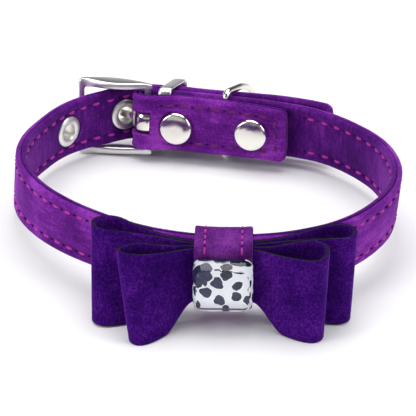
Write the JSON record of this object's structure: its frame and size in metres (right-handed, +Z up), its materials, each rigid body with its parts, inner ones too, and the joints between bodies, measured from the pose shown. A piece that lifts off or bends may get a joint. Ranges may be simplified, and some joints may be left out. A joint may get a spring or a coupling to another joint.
{
  "type": "pet bow tie collar",
  "caption": "Suede pet collar buckled into a ring, with rivets, eyelets, keeper and leash ring at the back and a double velvet bow with a glass stone in front.",
  "frame": {"origin": "middle of the collar's box, on the floor that it rests on", "axes": "+Z up, -Y towards the bow and stone, +Y towards the buckle, +X to the right of someone facing the bow"},
  "size_m": [0.1052, 0.1142, 0.0263],
  "materials": {
    "suede_face": "purple suede, brushed nap",
    "suede_lining": "purple suede, brushed nap",
    "velvet_ribbon": "deep violet velvet on both faces",
    "nickel": "polished nickel plate",
    "clear_glass": "clear cut glass over a white foil with dark spots"
  },
  "bodies": {
    "collar": {"strap_face_ply": "suede_face", "strap_lining_ply": "suede_lining", "eyelet_1": "nickel", "eyelet_2": "nickel", "eyelet_3": "nickel", "eyelet_4": "nickel", "rivet_1": "nickel", "rivet_2": "nickel", "buckle_frame": "nickel", "buckle_prong": "nickel", "keeper_loop": "nickel", "bow_rear_ribbon": "velvet_ribbon", "bow_front_ribbon": "velvet_ribbon", "knot_band": "suede_face", "glass_stone": "clear_glass"},
    "leash_ring": {"leash_ring": "nickel"}
  },
  "joints": [
    {"name": "leash_ring_hinge", "type": "hinge", "parent": "collar", "child": "leash_ring", "pos_m": [0.00533, 0.04121, 0.01155], "axis": [0.0278, 0.1648, 0.9859], "range_deg": [-18, 62]}
  ]
}
